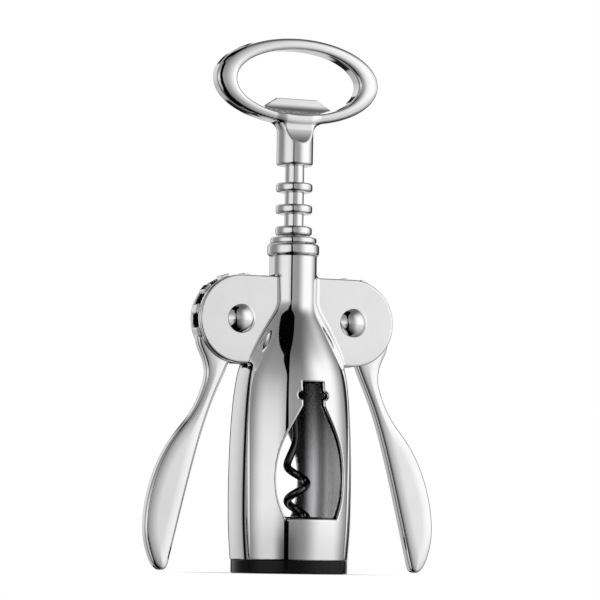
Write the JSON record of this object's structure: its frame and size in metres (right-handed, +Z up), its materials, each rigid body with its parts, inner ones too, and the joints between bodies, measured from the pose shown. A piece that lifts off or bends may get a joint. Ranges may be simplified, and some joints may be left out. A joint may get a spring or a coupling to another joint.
{
  "type": "wing corkscrew",
  "caption": "Chromed wing corkscrew with a bottle-shaped bell, geared side levers, a round rack spindle, a ring handle with a cap opener and a helical worm.",
  "frame": {"origin": "centre of the seat ring's underside, on the table the corkscrew stands on", "axes": "+Z up the spindle axis to the handle, +X along the line of the two lever pivots, -Y out of the front face with the domed rivet heads"},
  "size_m": [0.11, 0.0436, 0.1899],
  "materials": {
    "body_chrome": "polished chrome on a zinc die casting",
    "seat_plastic": "black moulded nylon, satin",
    "bush_chrome": "polished chrome",
    "lever_chrome": "polished chrome on a zinc die casting",
    "rivet_chrome": "polished steel",
    "rack_chrome": "turned steel, chromed",
    "handle_chrome": "polished chrome on a zinc die casting",
    "worm_black": "steel wire with a glossy black non-stick coat"
  },
  "bodies": {
    "frame": {"body": "body_chrome", "seat_ring": "seat_plastic", "left_rivet": "rivet_chrome", "right_rivet": "rivet_chrome", "left_rivet_cap": "rivet_chrome", "right_rivet_cap": "rivet_chrome"},
    "guide": {"neck_bush": "bush_chrome"},
    "spindle": {"handle": "handle_chrome", "rack_stem": "rack_chrome", "worm": "worm_black"},
    "left_wing": {"left_lever": "lever_chrome"},
    "right_wing": {"right_lever": "lever_chrome"}
  },
  "joints": [
    {"name": "left_lever_swing", "type": "hinge", "parent": "frame", "child": "left_wing", "pos_m": [-0.02145, 0, 0.0889], "axis": [0, 1, 0], "range_deg": [0, 130]},
    {"name": "right_lever_swing", "type": "hinge", "parent": "frame", "child": "right_wing", "pos_m": [0.02145, 0, 0.0889], "axis": [0, -1, 0], "range_deg": [0, 130]},
    {"name": "handle_turn", "type": "hinge", "parent": "frame", "child": "guide", "pos_m": [0, 0, 0.1151], "axis": [0, 0, 1], "continuous": true},
    {"name": "spindle_slide", "type": "slide", "parent": "guide", "child": "spindle", "axis": [0, 0, -1], "range_m": [0, 0.0336]}
  ],
  "couplings": [
    {"joint": "right_lever_swing", "follows": "left_lever_swing", "ratio": 1},
    {"joint": "spindle_slide", "follows": "left_lever_swing", "m_per_rad": 0.014782}
  ]
}
